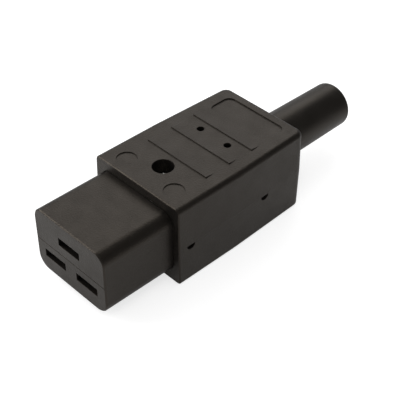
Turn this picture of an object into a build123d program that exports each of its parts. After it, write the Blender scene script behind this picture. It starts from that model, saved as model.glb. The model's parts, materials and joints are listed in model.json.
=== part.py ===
from build123d import *

import os

# Rewireable cord-end connector with three level slots, in millimetres
#
# The origin is the centre of the nose's mating face. +X is the width, +Y runs back along the
# nose, the body and the bend sleeve to the cord, and +Z is up. The connector lies on the flat
# underside of its body.

# Nose, the block with the slots that goes into the inlet
nose_w = 28.4
nose_h = 20.4
nose_len = 23.0
nose_top_corner = 3.5
nose_bottom_corner = 4.0
nose_front_edge = 0.35
face_line_z = -0.35
face_line_w = 0.25
face_line_depth = 0.15

# Slots and the blades they take
blade_w = 8.0
blade_t = 2.0
slot_side_gap = 0.25
slot_flat_gap = 0.3
pole_spacing = 13.0
earth_offset = 8.0
slot_wall = 1.6

# Body, which stands out all round the nose and is drafted both ways from its middle plane
side_step = 2.55
top_step = 2.9
kink_narrowing = 0.1
rear_narrowing = 2.0
body_kink = 21.6
body_len = 49.45
draft_angle = 1.0
rear_corner = 2.8
top_edge = 1.5
bottom_edge = 1.0
front_edge = 0.3

# Shell walls, seam and lap joint
side_wall = 1.8
roof_wall = 2.0
front_wall = 2.3
rear_wall = 2.2
inner_corner = 1.2
seam_front_z = -0.5
seam_rear_z = 0.7
seam_ramp_start = 35.2
seam_ramp_end = 41.4
lip_t = 0.8
lip_h = 1.0
lap_gap = 0.1

# Pry notches under the seam
notch_r = 1.5
notch_depth = 0.9
notch_first = 4.3
notch_pitch = 28.6

# Contact block inside the body
window_gap = 0.12
flange_gap = 0.15
block_depth = 4.7
retainer_t = 1.0
rib_gap = 0.1
rib_t = 1.2
rib_reach = 2.0

# Spring contacts, folded from one strip each
leaf_t = 0.7
leaf_w = 7.4
grip_gap = 1.7
mouth_gap = 3.3
heel_gap = 3.0
contact_front = 2.2
grip_at = 5.6
heel_at = 14.0
leaf_bend = 2.0
heel_lead = 1.5
pocket_side_gap = 0.3
pocket_flat_gap = 0.35
tail_t = 0.8
tail_w = 4.0
tail_root = 0.5
tail_straight = 1.2

# Box terminals on the contact tails
terminal_w = 6.0
terminal_len = 4.4
terminal_sole = 1.2
terminal_top = 1.6
window_h = 3.4
window_side_gap = 0.1
terminal_gap = 0.05
pole_terminal_x = 8.2
earth_terminal_x = 6.0
wire_hole_r = 1.7

# Terminal screws
terminal_screw_r = 1.5
terminal_head_r = 2.1
terminal_head_h = 1.2
tip_gap = 0.1
thread_gap = 0.03
driver_slot_w = 0.8
driver_slot_depth = 0.6

# Shell screw, its post and its brass insert
screw_y = 9.9
screw_recess_r = 3.1
screw_recess_depth = 6.3
screw_r = 1.5
screw_head_r = 2.7
screw_head_h = 2.1
screw_len = 12.0
screw_clear = 0.25
screw_head_edge = 0.4
post_wall = 0.95
post_joint_z = 1.0
insert_r = 2.3
insert_len = 6.0
insert_relief = 2.0
cross_w = 0.9
cross_len = 3.4
cross_depth = 1.1

# Grip steps, label recess, round recesses and small holes on the top
grip_w = 23.0
grip_len = 3.0
grip_h = 0.3
grip_first = 14.7
grip_pitch = 8.62
label_w = 22.0
label_len = 8.6
label_corner = 2.2
label_depth = 0.35
label_rear = 3.45
spot_r = 2.9
spot_depth = 0.25
spot_x = 9.4
spot_y = 5.2
small_hole_r = 1.1
small_hole_x = 5.3
small_hole_y = 28.85

# Bend sleeve
boot_root_r = 7.4
boot_end_r = 7.0
boot_len = 31.3
boot_bore_r = 5.2
boot_end_edge = 1.0
boot_flange_r = 9.4
boot_flange_t = 2.1
boot_gap = 0.1
boot_z = -0.3
boot_rib_t = 1.8
boot_rib_opening = 6.4

# Cord clamp, its saddle and its screws
clamp_in = 13.0
clamp_len = 5.2
clamp_side_gap = 1.55
clamp_t = 2.4
clamp_arch_t = 2.4
clamp_seat_z = 2.0
clamp_edge = 0.4
saddle_len = 3.6
saddle_top_z = -2.5
clamp_screw_in = 3.2
clamp_boss_r = 2.9
clamp_screw_r = 1.45
clamp_screw_len = 8.6
clamp_head_r = 2.4
clamp_head_h = 1.7
clamp_hole_gap = 0.15
clamp_hole_spare = 1.0

# Sizes and places worked out from the sizes above
body_front_w = nose_w + 2 * side_step
body_kink_w = body_front_w - kink_narrowing
body_rear_w = body_front_w - rear_narrowing
body_h = nose_h + 2 * top_step
body_front = nose_len
body_rear = body_front + body_len
body_mid_h = body_h / 2
room_mid_h = body_mid_h - roof_wall
block_rear = body_front + block_depth
retainer_rear = block_rear + retainer_t
flange_t = block_depth - front_wall - rib_gap
flange_out = side_step - side_wall - flange_gap
pocket_w = leaf_w + 2 * pocket_side_gap
pocket_h = mouth_gap + 2 * leaf_t + 2 * pocket_flat_gap
terminal_h = terminal_sole + window_h + terminal_top
terminal_front = block_rear - terminal_gap - terminal_len
head_seat_z = body_mid_h - screw_recess_depth
post_r = screw_recess_r + post_wall
screw_place_y = body_front + screw_y
clamp_place_y = body_rear - clamp_in
wire_up = window_h / 2
terminal_top_up = window_h - tail_t / 2 + terminal_top
terminal_screw_len = terminal_top + window_h - tail_t - tip_gap
boot_flange_rear = body_rear - rear_wall - boot_gap
boot_flange_front = boot_flange_rear - boot_flange_t
boot_end = body_rear + boot_len
clamp_head_z = clamp_seat_z + clamp_t
reach = body_len

# Each contact: slot centre across and up, terminal centre across, side its screw faces
poles = {
    "line": (-pole_spacing / 2, -earth_offset / 2, -pole_terminal_x, -1),
    "neutral": (pole_spacing / 2, -earth_offset / 2, pole_terminal_x, -1),
    "earth": (0, earth_offset / 2, earth_terminal_x, 1),
}


def across(y):
    """Upright plane across the connector, y behind the mating face; extrusions run forwards."""
    return Plane.XZ.offset(-y)


def facing(x, y, z, side):
    """Level plane at a point, looking up for side 1 and down for side -1."""
    return Plane(origin=(x, y, z), x_dir=(1, 0, 0), z_dir=(0, 0, side))


def nose_outline(grow=0.0):
    """Front view of the nose, with its two upper corners tighter than the lower ones."""
    Rectangle(nose_w + 2 * grow, nose_h + 2 * grow)
    fillet(vertices().group_by(Axis.Y)[-1], radius=nose_top_corner + grow)
    fillet(vertices().group_by(Axis.Y)[0], radius=nose_bottom_corner + grow)


def body_plan(side_in=0.0, front_in=0.0, rear_in=0.0, corner=rear_corner):
    """Top view of the body, pulled in by the given amounts, with rounded rear corners."""
    front_x = body_front_w / 2 - side_in
    kink_x = body_kink_w / 2 - side_in
    rear_x = body_rear_w / 2 - side_in
    front_y = body_front + front_in
    kink_y = body_front + body_kink
    rear_y = body_rear - rear_in
    with BuildLine() as outline:
        Polyline(
            (-front_x, front_y),
            (front_x, front_y),
            (kink_x, kink_y),
            (rear_x, rear_y),
            (-rear_x, rear_y),
            (-kink_x, kink_y),
            close=True,
        )
    make_face(outline.edges())
    fillet(vertices().group_by(Axis.Y)[-1], radius=corner)


def half_width_at(y):
    """Half the body's width at its middle plane, y behind the mating face."""
    along = y - body_front
    if along < body_kink:
        return (body_front_w + (body_kink_w - body_front_w) * along / body_kink) / 2
    share = (along - body_kink) / (body_len - body_kink)
    return (body_kink_w + (body_rear_w - body_kink_w) * share) / 2


def half_form(long_edge):
    """Upper half of the closed body's outer form, with its long and rear edges rounded."""
    with BuildPart() as half:
        with BuildSketch():
            body_plan()
        extrude(amount=body_mid_h, taper=draft_angle)
        fillet(edges().group_by(Axis.Z)[-1].sort_by(Axis.Y)[1:], radius=long_edge)
        front_face = faces().sort_by(Axis.Y)[0]
        front_loop = front_face.edges().filter_by(lambda edge: edge.center().Z > front_edge)
        chamfer(front_loop, length=front_edge)
    return half.part


def beyond_seam(side, rise=0.0):
    """All that lies above (side 1) or below (side -1) the stepped seam, raised by rise."""
    low_z = seam_front_z + rise
    high_z = seam_rear_z + rise
    with BuildPart() as region:
        with BuildSketch(Plane.YZ):
            with BuildLine():
                Polyline(
                    (body_front - reach, low_z),
                    (body_front + seam_ramp_start, low_z),
                    (body_front + seam_ramp_end, high_z),
                    (body_rear + reach, high_z),
                    (body_rear + reach, side * reach),
                    (body_front - reach, side * reach),
                    close=True,
                )
            make_face()
        extrude(amount=reach, both=True)
    return region.part


def lap_zone(gap=0.0):
    """Space inside the outer face of the lower shell's lip, up to its top, grown by a gap."""
    inset = lip_t + gap
    above_lip = beyond_seam(1, lip_h + gap)
    with BuildPart() as zone:
        with BuildSketch(Plane.XY.offset(-reach)):
            body_plan(side_wall - inset, front_wall - inset, rear_wall - inset, inner_corner + inset)
        extrude(amount=2 * reach)
        add(above_lip, mode=Mode.SUBTRACT)
    return zone.part


def boot_circle(radius):
    """Circle about the bend sleeve's axis, in a sketch across the connector."""
    with Locations((0, boot_z)):
        Circle(radius)


def tail_plan(x, terminal_x):
    """Top view of a contact's tail, cranked sideways from the slot to the terminal."""
    root_y = heel_at + (heel_gap + leaf_t) / 2 + leaf_t / 2 - tail_root
    crank_y = terminal_front - tail_straight
    tail_end = block_rear - terminal_gap
    with BuildLine() as outline:
        Polyline(
            (x - tail_w / 2, root_y),
            (x + tail_w / 2, root_y),
            (terminal_x + tail_w / 2, crank_y),
            (terminal_x + tail_w / 2, tail_end),
            (terminal_x - tail_w / 2, tail_end),
            (terminal_x - tail_w / 2, crank_y),
            close=True,
        )
    make_face(outline.edges())


def spring_contact(x, z, terminal_x):
    """Folded strip: two sprung leaves that pinch the blade, a round heel and a flat tail."""
    mouth_up = (mouth_gap + leaf_t) / 2
    grip_up = (grip_gap + leaf_t) / 2
    heel_up = (heel_gap + leaf_t) / 2
    heel_in = heel_gap / 2
    heel_out = heel_in + leaf_t
    side_plane = Plane(origin=(x - leaf_w / 2, 0, z), x_dir=(0, 1, 0), z_dir=(1, 0, 0))
    with BuildPart() as contact:
        with BuildSketch(side_plane):
            with BuildLine():
                leaf = FilletPolyline(
                    (contact_front, mouth_up),
                    (grip_at, grip_up),
                    (heel_at - heel_lead, heel_up),
                    (heel_at, heel_up),
                    radius=leaf_bend,
                )
                mirror(leaf, about=Plane.XZ)
            trace(line_width=leaf_t)
            with BuildLine():
                ThreePointArc((heel_at, heel_out), (heel_at + heel_out, 0), (heel_at, -heel_out))
                Line((heel_at, -heel_out), (heel_at, -heel_in))
                ThreePointArc((heel_at, -heel_in), (heel_at + heel_in, 0), (heel_at, heel_in))
                Line((heel_at, heel_in), (heel_at, heel_out))
            make_face()
        extrude(amount=leaf_w)
        with BuildSketch(Plane.XY.offset(z - tail_t / 2)):
            tail_plan(x, terminal_x)
        extrude(amount=tail_t)
    return contact.part


def box_terminal(z, terminal_x, side):
    """Brass box round a contact's tail, with a window for the wire and a hole for its screw."""
    box_z = z + side * (terminal_h / 2 - terminal_sole - tail_t / 2)
    window_z = z + side * (window_h - tail_t) / 2
    mid_y = terminal_front + terminal_len / 2
    with BuildPart() as terminal:
        with BuildSketch(across(terminal_front + terminal_len)):
            with Locations((terminal_x, box_z)):
                Rectangle(terminal_w, terminal_h)
            with Locations((terminal_x, window_z)):
                Rectangle(tail_w + 2 * window_side_gap, window_h, mode=Mode.SUBTRACT)
        extrude(amount=terminal_len)
        with BuildSketch(facing(terminal_x, mid_y, z + side * terminal_top_up, side)):
            Circle(terminal_screw_r + thread_gap)
        extrude(amount=-terminal_top - window_h / 2, mode=Mode.SUBTRACT)
    return terminal.part


def terminal_screw(z, terminal_x, side):
    """Cheese-head screw with a driver slot, driven home onto the contact's tail."""
    seat = facing(terminal_x, terminal_front + terminal_len / 2, z + side * terminal_top_up, side)
    with BuildPart() as screw:
        with BuildSketch(seat):
            Circle(terminal_head_r)
        extrude(amount=terminal_head_h)
        with BuildSketch(seat):
            Circle(terminal_screw_r)
        extrude(amount=-terminal_screw_len)
        with BuildSketch(seat.offset(terminal_head_h)):
            Rectangle(2 * terminal_head_r, driver_slot_w)
        extrude(amount=-driver_slot_depth, mode=Mode.SUBTRACT)
    return screw.part


def clamp_screw(x):
    """Slotted screw that holds one end of the cord clamp down on its boss."""
    seat = facing(x, clamp_place_y, clamp_head_z, 1)
    with BuildPart() as screw:
        with BuildSketch(seat):
            Circle(clamp_head_r)
        extrude(amount=clamp_head_h)
        with BuildSketch(seat):
            Circle(clamp_screw_r)
        extrude(amount=-clamp_screw_len)
        with BuildSketch(seat.offset(clamp_head_h)):
            Rectangle(2 * clamp_head_r, driver_slot_w)
        extrude(amount=-driver_slot_depth, mode=Mode.SUBTRACT)
    return screw.part


# Cord clamp's width and screws, set by the body's width there
clamp_w = 2 * (half_width_at(clamp_place_y) - side_wall - clamp_side_gap)
clamp_screw_x = clamp_w / 2 - clamp_screw_in

# Outer form of the closed body
upper_half = half_form(top_edge)
lower_half = half_form(bottom_edge)
with BuildPart() as body_form:
    add(upper_half)
    mirror(lower_half, about=Plane.XY)

# Room inside the closed body, with the windows at its two ends
with BuildPart() as body_room:
    with BuildSketch(Plane.XY.offset(-room_mid_h)):
        body_plan(side_wall, front_wall, rear_wall, inner_corner)
    extrude(amount=2 * room_mid_h)
    with BuildSketch(across(body_front + front_wall + rib_gap)):
        nose_outline(window_gap)
    extrude(amount=2 * front_wall)
    with BuildSketch(across(body_rear + rear_wall)):
        boot_circle(boot_root_r + boot_gap)
    extrude(amount=2 * rear_wall + boot_gap)

# Ribs that trap the contact block and the bend sleeve's flange, in both shells alike
with BuildPart() as shell_ribs:
    with BuildSketch(across(retainer_rear + rib_gap + rib_t)):
        with GridLocations(body_front_w - 2 * rib_reach, 0, 2, 1):
            Rectangle(2 * rib_reach, body_h)
    extrude(amount=rib_t)
    with BuildSketch(across(boot_flange_front - boot_gap)):
        Rectangle(body_front_w, body_h)
        with Locations((0, boot_z)):
            Circle(boot_rib_opening, mode=Mode.SUBTRACT)
    extrude(amount=boot_rib_t)
    add(body_form.part, mode=Mode.INTERSECT)

# Regions that divide the body into its two shells
below_seam = beyond_seam(-1)
upper_rebate = lap_zone(lap_gap)
above_seam = beyond_seam(1) - lap_zone()

# Upper shell, with the screw's recess and the marks of its top face
with BuildPart() as upper_shell:
    add(body_form.part)
    add(body_room.part, mode=Mode.SUBTRACT)
    add(shell_ribs.part)
    add(below_seam, mode=Mode.SUBTRACT)
    add(upper_rebate, mode=Mode.SUBTRACT)
    with BuildSketch(Plane.XY.offset(post_joint_z)):
        with Locations((0, screw_place_y)):
            Circle(post_r)
    extrude(amount=body_mid_h - post_joint_z - roof_wall / 2)
    with Locations((0, screw_place_y, body_mid_h)):
        CounterBoreHole(screw_r + screw_clear, screw_recess_r, screw_recess_depth, body_mid_h)
    for step in range(3):
        step_y = body_front + grip_first + step * grip_pitch
        with BuildSketch(Plane.YZ):
            with BuildLine():
                Polyline(
                    (step_y, body_mid_h - grip_h),
                    (step_y, body_mid_h + grip_h),
                    (step_y + grip_len, body_mid_h),
                    (step_y + grip_len, body_mid_h - grip_h),
                    close=True,
                )
            make_face()
        extrude(amount=grip_w / 2, both=True)
    with BuildSketch(Plane.XY.offset(body_mid_h)):
        with Locations((0, body_rear - label_rear - label_len / 2)):
            RectangleRounded(label_w, label_len, label_corner)
    extrude(amount=-label_depth, mode=Mode.SUBTRACT)
    with BuildSketch(Plane.XY.offset(body_mid_h)):
        with Locations((-spot_x, body_front + spot_y), (spot_x, body_front + spot_y)):
            Circle(spot_r)
    extrude(amount=-spot_depth, mode=Mode.SUBTRACT)
    with Locations((0, body_front + small_hole_y, body_mid_h)):
        with GridLocations(2 * small_hole_x, 0, 2, 1):
            Hole(small_hole_r, body_mid_h)
upper_shell.part.label = "upper_shell"

# Lower shell, with the screw's post, the cord saddle, the clamp's bosses and the pry notches
with BuildPart() as lower_shell:
    add(body_form.part)
    add(body_room.part, mode=Mode.SUBTRACT)
    add(shell_ribs.part)
    add(above_seam, mode=Mode.SUBTRACT)
    floor_plane = Plane.XY.offset(-room_mid_h - roof_wall / 2)
    with BuildSketch(floor_plane):
        with Locations((0, clamp_place_y)):
            Rectangle(2 * clamp_screw_x, saddle_len)
    extrude(amount=saddle_top_z - floor_plane.origin.Z)
    with BuildSketch(across(clamp_place_y + saddle_len)):
        boot_circle(boot_bore_r)
    extrude(amount=2 * saddle_len, mode=Mode.SUBTRACT)
    with BuildSketch(floor_plane):
        with Locations((0, clamp_place_y)):
            with GridLocations(2 * clamp_screw_x, 0, 2, 1):
                Circle(clamp_boss_r)
    extrude(amount=clamp_seat_z - floor_plane.origin.Z)
    with BuildSketch(floor_plane):
        with Locations((0, screw_place_y)):
            Circle(post_r)
    extrude(amount=post_joint_z - floor_plane.origin.Z)
    with Locations((0, screw_place_y, post_joint_z)):
        CounterBoreHole(screw_r + screw_clear, insert_r, insert_len, insert_len + insert_relief)
    with Locations((0, clamp_place_y, clamp_seat_z)):
        with GridLocations(2 * clamp_screw_x, 0, 2, 1):
            Hole(clamp_screw_r + thread_gap, clamp_screw_len - clamp_t + clamp_hole_spare)
    for notch_y in (body_front + notch_first, body_front + notch_first + notch_pitch):
        for side in (-1, 1):
            notch_x = side * (half_width_at(notch_y) - notch_depth)
            notch_plane = Plane(origin=(notch_x, notch_y, seam_front_z), z_dir=(side, 0, 0))
            with BuildSketch(notch_plane):
                Circle(notch_r)
            extrude(amount=2 * notch_depth, mode=Mode.SUBTRACT)
lower_shell.part.label = "lower_shell"

# Contact block, the nose with its three slots and, behind them, pockets open to the rear
with BuildPart() as contact_block:
    with BuildSketch(across(block_rear)):
        nose_outline()
    extrude(amount=block_rear)
    with BuildSketch(across(block_rear)):
        nose_outline(flange_out)
    extrude(amount=flange_t)
    chamfer(faces().sort_by(Axis.Y)[0].edges(), length=nose_front_edge)
    with BuildSketch(across(face_line_depth)):
        with Locations((0, face_line_z)):
            Rectangle(2 * nose_w, face_line_w)
    extrude(amount=face_line_depth, mode=Mode.SUBTRACT)
    for x, z, terminal_x, side in poles.values():
        with BuildSketch(across(slot_wall)):
            with Locations((x, z)):
                Rectangle(blade_w + 2 * slot_side_gap, blade_t + 2 * slot_flat_gap)
        extrude(amount=slot_wall, mode=Mode.SUBTRACT)
        with BuildSketch(across(block_rear)):
            with Locations((x, z)):
                Rectangle(pocket_w, pocket_h)
        extrude(amount=block_rear - slot_wall, mode=Mode.SUBTRACT)
        with BuildSketch(Plane.XY.offset(z)):
            tail_plan(x, terminal_x)
            offset(amount=pocket_side_gap, kind=Kind.INTERSECTION)
        extrude(amount=tail_t / 2 + pocket_flat_gap, both=True, mode=Mode.SUBTRACT)
        chamber_floor = z - side * (tail_t / 2 + terminal_sole + terminal_gap)
        chamber_h = side * nose_h - chamber_floor
        with BuildSketch(across(block_rear)):
            with Locations((terminal_x, chamber_floor + chamber_h / 2)):
                Rectangle(terminal_w + 2 * terminal_gap, abs(chamber_h))
        extrude(amount=block_rear - terminal_front + terminal_gap, mode=Mode.SUBTRACT)
contact_block.part.label = "contact_block"

# Contact retainer, the plate that closes the pockets and leaves a hole for each wire
with BuildPart() as contact_retainer:
    with BuildSketch(across(retainer_rear)):
        nose_outline(flange_out)
        for x, z, terminal_x, side in poles.values():
            with Locations((terminal_x, z + side * wire_up)):
                Circle(wire_hole_r, mode=Mode.SUBTRACT)
    extrude(amount=retainer_t)
contact_retainer.part.label = "contact_retainer"

# Spring contacts, one for each pole
contacts = {name: spring_contact(x, z, terminal_x) for name, (x, z, terminal_x, side) in poles.items()}

# Box terminals and their screws, one for each pole
terminals = {name: box_terminal(z, terminal_x, side) for name, (x, z, terminal_x, side) in poles.items()}
terminal_screws = {
    name: terminal_screw(z, terminal_x, side) for name, (x, z, terminal_x, side) in poles.items()
}

# Shell screw, its head deep in the recess
with BuildPart() as shell_screw:
    with Locations((0, screw_place_y, head_seat_z)):
        Cylinder(screw_head_r, screw_head_h, align=(Align.CENTER, Align.CENTER, Align.MIN))
        Cylinder(screw_r, screw_len, align=(Align.CENTER, Align.CENTER, Align.MAX))
    chamfer(edges().group_by(Axis.Z)[-1], length=screw_head_edge)
    with BuildSketch(Plane.XY.offset(head_seat_z + screw_head_h)):
        with Locations((0, screw_place_y)):
            with PolarLocations(0, 2, angular_range=180):
                Rectangle(cross_len, cross_w)
    extrude(amount=-cross_depth, mode=Mode.SUBTRACT)
shell_screw.part.label = "shell_screw"

# Screw insert, pressed into the lower shell's post
with BuildPart() as screw_insert:
    with BuildSketch(Plane.XY.offset(post_joint_z)):
        with Locations((0, screw_place_y)):
            Circle(insert_r)
            Circle(screw_r + thread_gap, mode=Mode.SUBTRACT)
    extrude(amount=-insert_len)
screw_insert.part.label = "screw_insert"

# Bend sleeve, its flange trapped behind the rear wall
with BuildPart() as cord_boot:
    with BuildSketch(Plane.XY.offset(boot_z)):
        with BuildLine():
            Polyline(
                (boot_bore_r, boot_flange_front),
                (boot_flange_r, boot_flange_front),
                (boot_flange_r, boot_flange_rear),
                (boot_root_r, boot_flange_rear),
                (boot_root_r, body_rear),
                (boot_end_r, boot_end),
                (boot_bore_r, boot_end),
                close=True,
            )
        make_face()
    revolve(axis=Axis((0, 0, boot_z), (0, 1, 0)))
    chamfer(edges().group_by(Axis.Y)[-1].sort_by(SortBy.LENGTH)[-1], length=boot_end_edge)
cord_boot.part.label = "cord_boot"

# Cord clamp, a bridge with an arch over the cord
with BuildPart() as cord_clamp:
    with BuildSketch(across(clamp_place_y + clamp_len / 2)):
        with Locations((0, clamp_seat_z + clamp_t / 2)):
            Rectangle(clamp_w, clamp_t)
        boot_circle(boot_bore_r + clamp_arch_t)
        with Locations((0, clamp_seat_z)):
            Rectangle(clamp_w, clamp_w, align=(Align.CENTER, Align.MAX), mode=Mode.SUBTRACT)
        with Locations((0, boot_z)):
            Circle(boot_bore_r, mode=Mode.SUBTRACT)
    extrude(amount=clamp_len)
    with Locations((0, clamp_place_y, clamp_head_z)):
        with GridLocations(2 * clamp_screw_x, 0, 2, 1):
            Hole(clamp_screw_r + clamp_hole_gap, clamp_t)
    chamfer(edges().filter_by(Axis.Z), length=clamp_edge)
cord_clamp.part.label = "cord_clamp"

clamp_screws = {"left": clamp_screw(-clamp_screw_x), "right": clamp_screw(clamp_screw_x)}

# One file for each piece
os.makedirs("parts", exist_ok=True)
export_step(upper_shell.part, "parts/upper_shell.step")
export_step(lower_shell.part, "parts/lower_shell.step")
export_step(contact_block.part, "parts/contact_block.step")
export_step(contact_retainer.part, "parts/contact_retainer.step")
export_step(shell_screw.part, "parts/shell_screw.step")
export_step(screw_insert.part, "parts/screw_insert.step")
export_step(cord_boot.part, "parts/cord_boot.step")
export_step(cord_clamp.part, "parts/cord_clamp.step")
for name in poles:
    contacts[name].label = f"{name}_contact"
    terminals[name].label = f"{name}_terminal"
    terminal_screws[name].label = f"{name}_terminal_screw"
    export_step(contacts[name], f"parts/{name}_contact.step")
    export_step(terminals[name], f"parts/{name}_terminal.step")
    export_step(terminal_screws[name], f"parts/{name}_terminal_screw.step")
for name, piece in clamp_screws.items():
    piece.label = f"clamp_screw_{name}"
    export_step(piece, f"parts/clamp_screw_{name}.step")
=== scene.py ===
"""Looks of a rewireable cord-end power connector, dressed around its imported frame.

Every length is in metres, in the frame of the CAD part: the origin is the centre of the nose's
mating face, +Y runs back to the cord end and +Z is up.
"""

import json
import logging
import math
from dataclasses import dataclass, field
from enum import Enum
from typing import Any

import bmesh
import bpy
from mathutils import Matrix, Vector

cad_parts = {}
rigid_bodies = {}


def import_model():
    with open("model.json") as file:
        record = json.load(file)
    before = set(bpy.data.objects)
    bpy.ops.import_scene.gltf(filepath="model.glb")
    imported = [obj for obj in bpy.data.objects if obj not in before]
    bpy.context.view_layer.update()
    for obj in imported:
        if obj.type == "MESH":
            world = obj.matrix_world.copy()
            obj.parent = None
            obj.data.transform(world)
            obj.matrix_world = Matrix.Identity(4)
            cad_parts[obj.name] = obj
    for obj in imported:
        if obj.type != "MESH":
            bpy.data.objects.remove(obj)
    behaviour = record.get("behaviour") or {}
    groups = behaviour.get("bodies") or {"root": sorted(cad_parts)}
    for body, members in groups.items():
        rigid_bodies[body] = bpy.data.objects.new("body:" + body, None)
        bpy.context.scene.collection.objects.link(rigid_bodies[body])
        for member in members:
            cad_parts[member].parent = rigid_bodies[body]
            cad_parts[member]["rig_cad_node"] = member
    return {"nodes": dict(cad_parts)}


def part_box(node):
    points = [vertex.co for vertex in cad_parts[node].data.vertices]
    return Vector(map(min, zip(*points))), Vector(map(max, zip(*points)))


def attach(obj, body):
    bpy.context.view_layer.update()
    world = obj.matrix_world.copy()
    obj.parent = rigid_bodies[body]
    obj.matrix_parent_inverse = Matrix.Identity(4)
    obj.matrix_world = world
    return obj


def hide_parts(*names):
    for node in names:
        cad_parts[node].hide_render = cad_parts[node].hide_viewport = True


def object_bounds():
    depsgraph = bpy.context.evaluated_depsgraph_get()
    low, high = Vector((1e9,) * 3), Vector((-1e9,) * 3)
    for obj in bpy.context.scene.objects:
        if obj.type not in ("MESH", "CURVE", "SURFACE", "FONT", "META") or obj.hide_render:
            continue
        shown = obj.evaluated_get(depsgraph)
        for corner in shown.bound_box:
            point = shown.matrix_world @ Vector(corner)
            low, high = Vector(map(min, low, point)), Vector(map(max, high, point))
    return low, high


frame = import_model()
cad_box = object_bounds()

MM = 0.001
ROOT_BODY = "root"
MERGE_DISTANCE = 0.001 * MM
SHARP_ANGLE = math.radians(28)

log = logging.getLogger("connector")


class Slot(Enum):
    """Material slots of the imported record."""

    SHELL = "shell_plastic"
    NOSE = "nose_plastic"
    SLEEVE = "boot_rubber"
    BRASS = "contact_brass"
    STEEL = "screw_steel"


class Recess(Enum):
    """Driver recesses of the screws, as the number of arms that cross the head."""

    SLOT = 1
    CROSS = 2


class NodeBuilder:
    """Adds nodes and links to one shader, world or geometry tree."""

    def __init__(self, tree: bpy.types.NodeTree) -> None:
        """Starts on a tree, emptied first."""
        self.tree = tree
        tree.nodes.clear()

    def add(self, kind: str, inputs: dict[Any, Any] | None = None, **settings: Any) -> bpy.types.Node:
        """Adds one node.

        Args:
            kind: Blender's identifier for the node.
            inputs: Socket name or index, to a value or to the output socket that feeds it.
            settings: Properties set on the node itself.

        Returns:
            The new node.
        """
        node = self.tree.nodes.new(kind)
        for name, value in settings.items():
            setattr(node, name, value)
        for key, value in (inputs or {}).items():
            self.feed(node.inputs[key], value)
        return node

    def feed(self, socket: bpy.types.NodeSocket, value: Any) -> None:
        """Links an output socket to an input, or sets the input's own value.

        Args:
            socket: The input socket.
            value: An output socket, or a plain value.
        """
        if isinstance(value, bpy.types.NodeSocket):
            self.tree.links.new(value, socket)
        else:
            socket.default_value = value

    def math(self, operation: str, *values: Any) -> bpy.types.NodeSocket:
        """Adds a Math node and returns its output."""
        inputs = dict(enumerate(values))
        return self.add("ShaderNodeMath", inputs, operation=operation).outputs[0]

    def combine(self, x: Any = 0.0, y: Any = 0.0, z: Any = 0.0) -> bpy.types.NodeSocket:
        """Joins three numbers into a vector and returns its output."""
        return self.add("ShaderNodeCombineXYZ", {"X": x, "Y": y, "Z": z}).outputs[0]

    def map_range(self, value: Any, low: float, high: float, to_low: Any, to_high: Any) -> Any:
        """Maps a number from one range onto another, clamped.

        Args:
            value: The number's output socket.
            low: Start of the range it comes from.
            high: End of that range.
            to_low: What low becomes.
            to_high: What high becomes.

        Returns:
            The output socket.
        """
        inputs = {
            "Value": value,
            "From Min": low,
            "From Max": high,
            "To Min": to_low,
            "To Max": to_high,
        }
        return self.add("ShaderNodeMapRange", inputs).outputs["Result"]


def group_tree(
    name: str, kind: str, inputs: dict[str, tuple[str, Any]], outputs: dict[str, str]
) -> bpy.types.NodeTree:
    """Makes an empty node group with named sockets.

    Args:
        name: The group's name.
        kind: Tree type, for shader or geometry nodes.
        inputs: Socket name, to its type and its default value.
        outputs: Socket name, to its type.

    Returns:
        The new group.
    """
    tree = bpy.data.node_groups.new(name, kind)
    for label, (socket_type, default) in inputs.items():
        socket = tree.interface.new_socket(label, in_out="INPUT", socket_type=socket_type)
        if default is not None:
            socket.default_value = default
    for label, socket_type in outputs.items():
        tree.interface.new_socket(label, in_out="OUTPUT", socket_type=socket_type)
    return tree


# Shared shader effects


def make_grain_group() -> bpy.types.NodeTree:
    """Builds the fine texture of a spark-eroded mould, shared by the plastics and the rubber.

    Returns:
        The group. Size is the width of one grain, Height is in shares of the grain's depth, and
        Mottle is a slow drift from 0 to 1 for colour and gloss.
    """
    fine_share = 0.6
    drift_low, drift_high = 0.3, 0.7
    tree = group_tree(
        "moulded_grain",
        "ShaderNodeTree",
        {"Size": ("NodeSocketFloat", 0.3 * MM), "Drift": ("NodeSocketFloat", 4 * MM)},
        {"Height": "NodeSocketFloat", "Mottle": "NodeSocketFloat"},
    )
    nodes = NodeBuilder(tree)
    given = nodes.add("NodeGroupInput")
    place = nodes.add("ShaderNodeTexCoord").outputs["Object"]
    pebble_scale = nodes.math("DIVIDE", 1.0, given.outputs["Size"])
    drift_scale = nodes.math("DIVIDE", 1.0, given.outputs["Drift"])
    pebbles = nodes.add(
        "ShaderNodeTexVoronoi",
        {"Vector": place, "Scale": pebble_scale, "Smoothness": 0.6},
        feature="SMOOTH_F1",
    )
    fine = nodes.add(
        "ShaderNodeTexNoise",
        {"Vector": place, "Scale": pebble_scale, "Detail": 2.0, "Roughness": 0.6},
    )
    drift = nodes.add(
        "ShaderNodeTexNoise",
        {"Vector": place, "Scale": drift_scale, "Detail": 3.0, "Roughness": 0.55},
    )
    height = nodes.math("MULTIPLY_ADD", fine.outputs["Fac"], fine_share, pebbles.outputs["Distance"])
    mottle = nodes.map_range(drift.outputs["Fac"], drift_low, drift_high, 0.0, 1.0)
    nodes.add("NodeGroupOutput", {"Height": height, "Mottle": mottle})
    return tree


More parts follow.
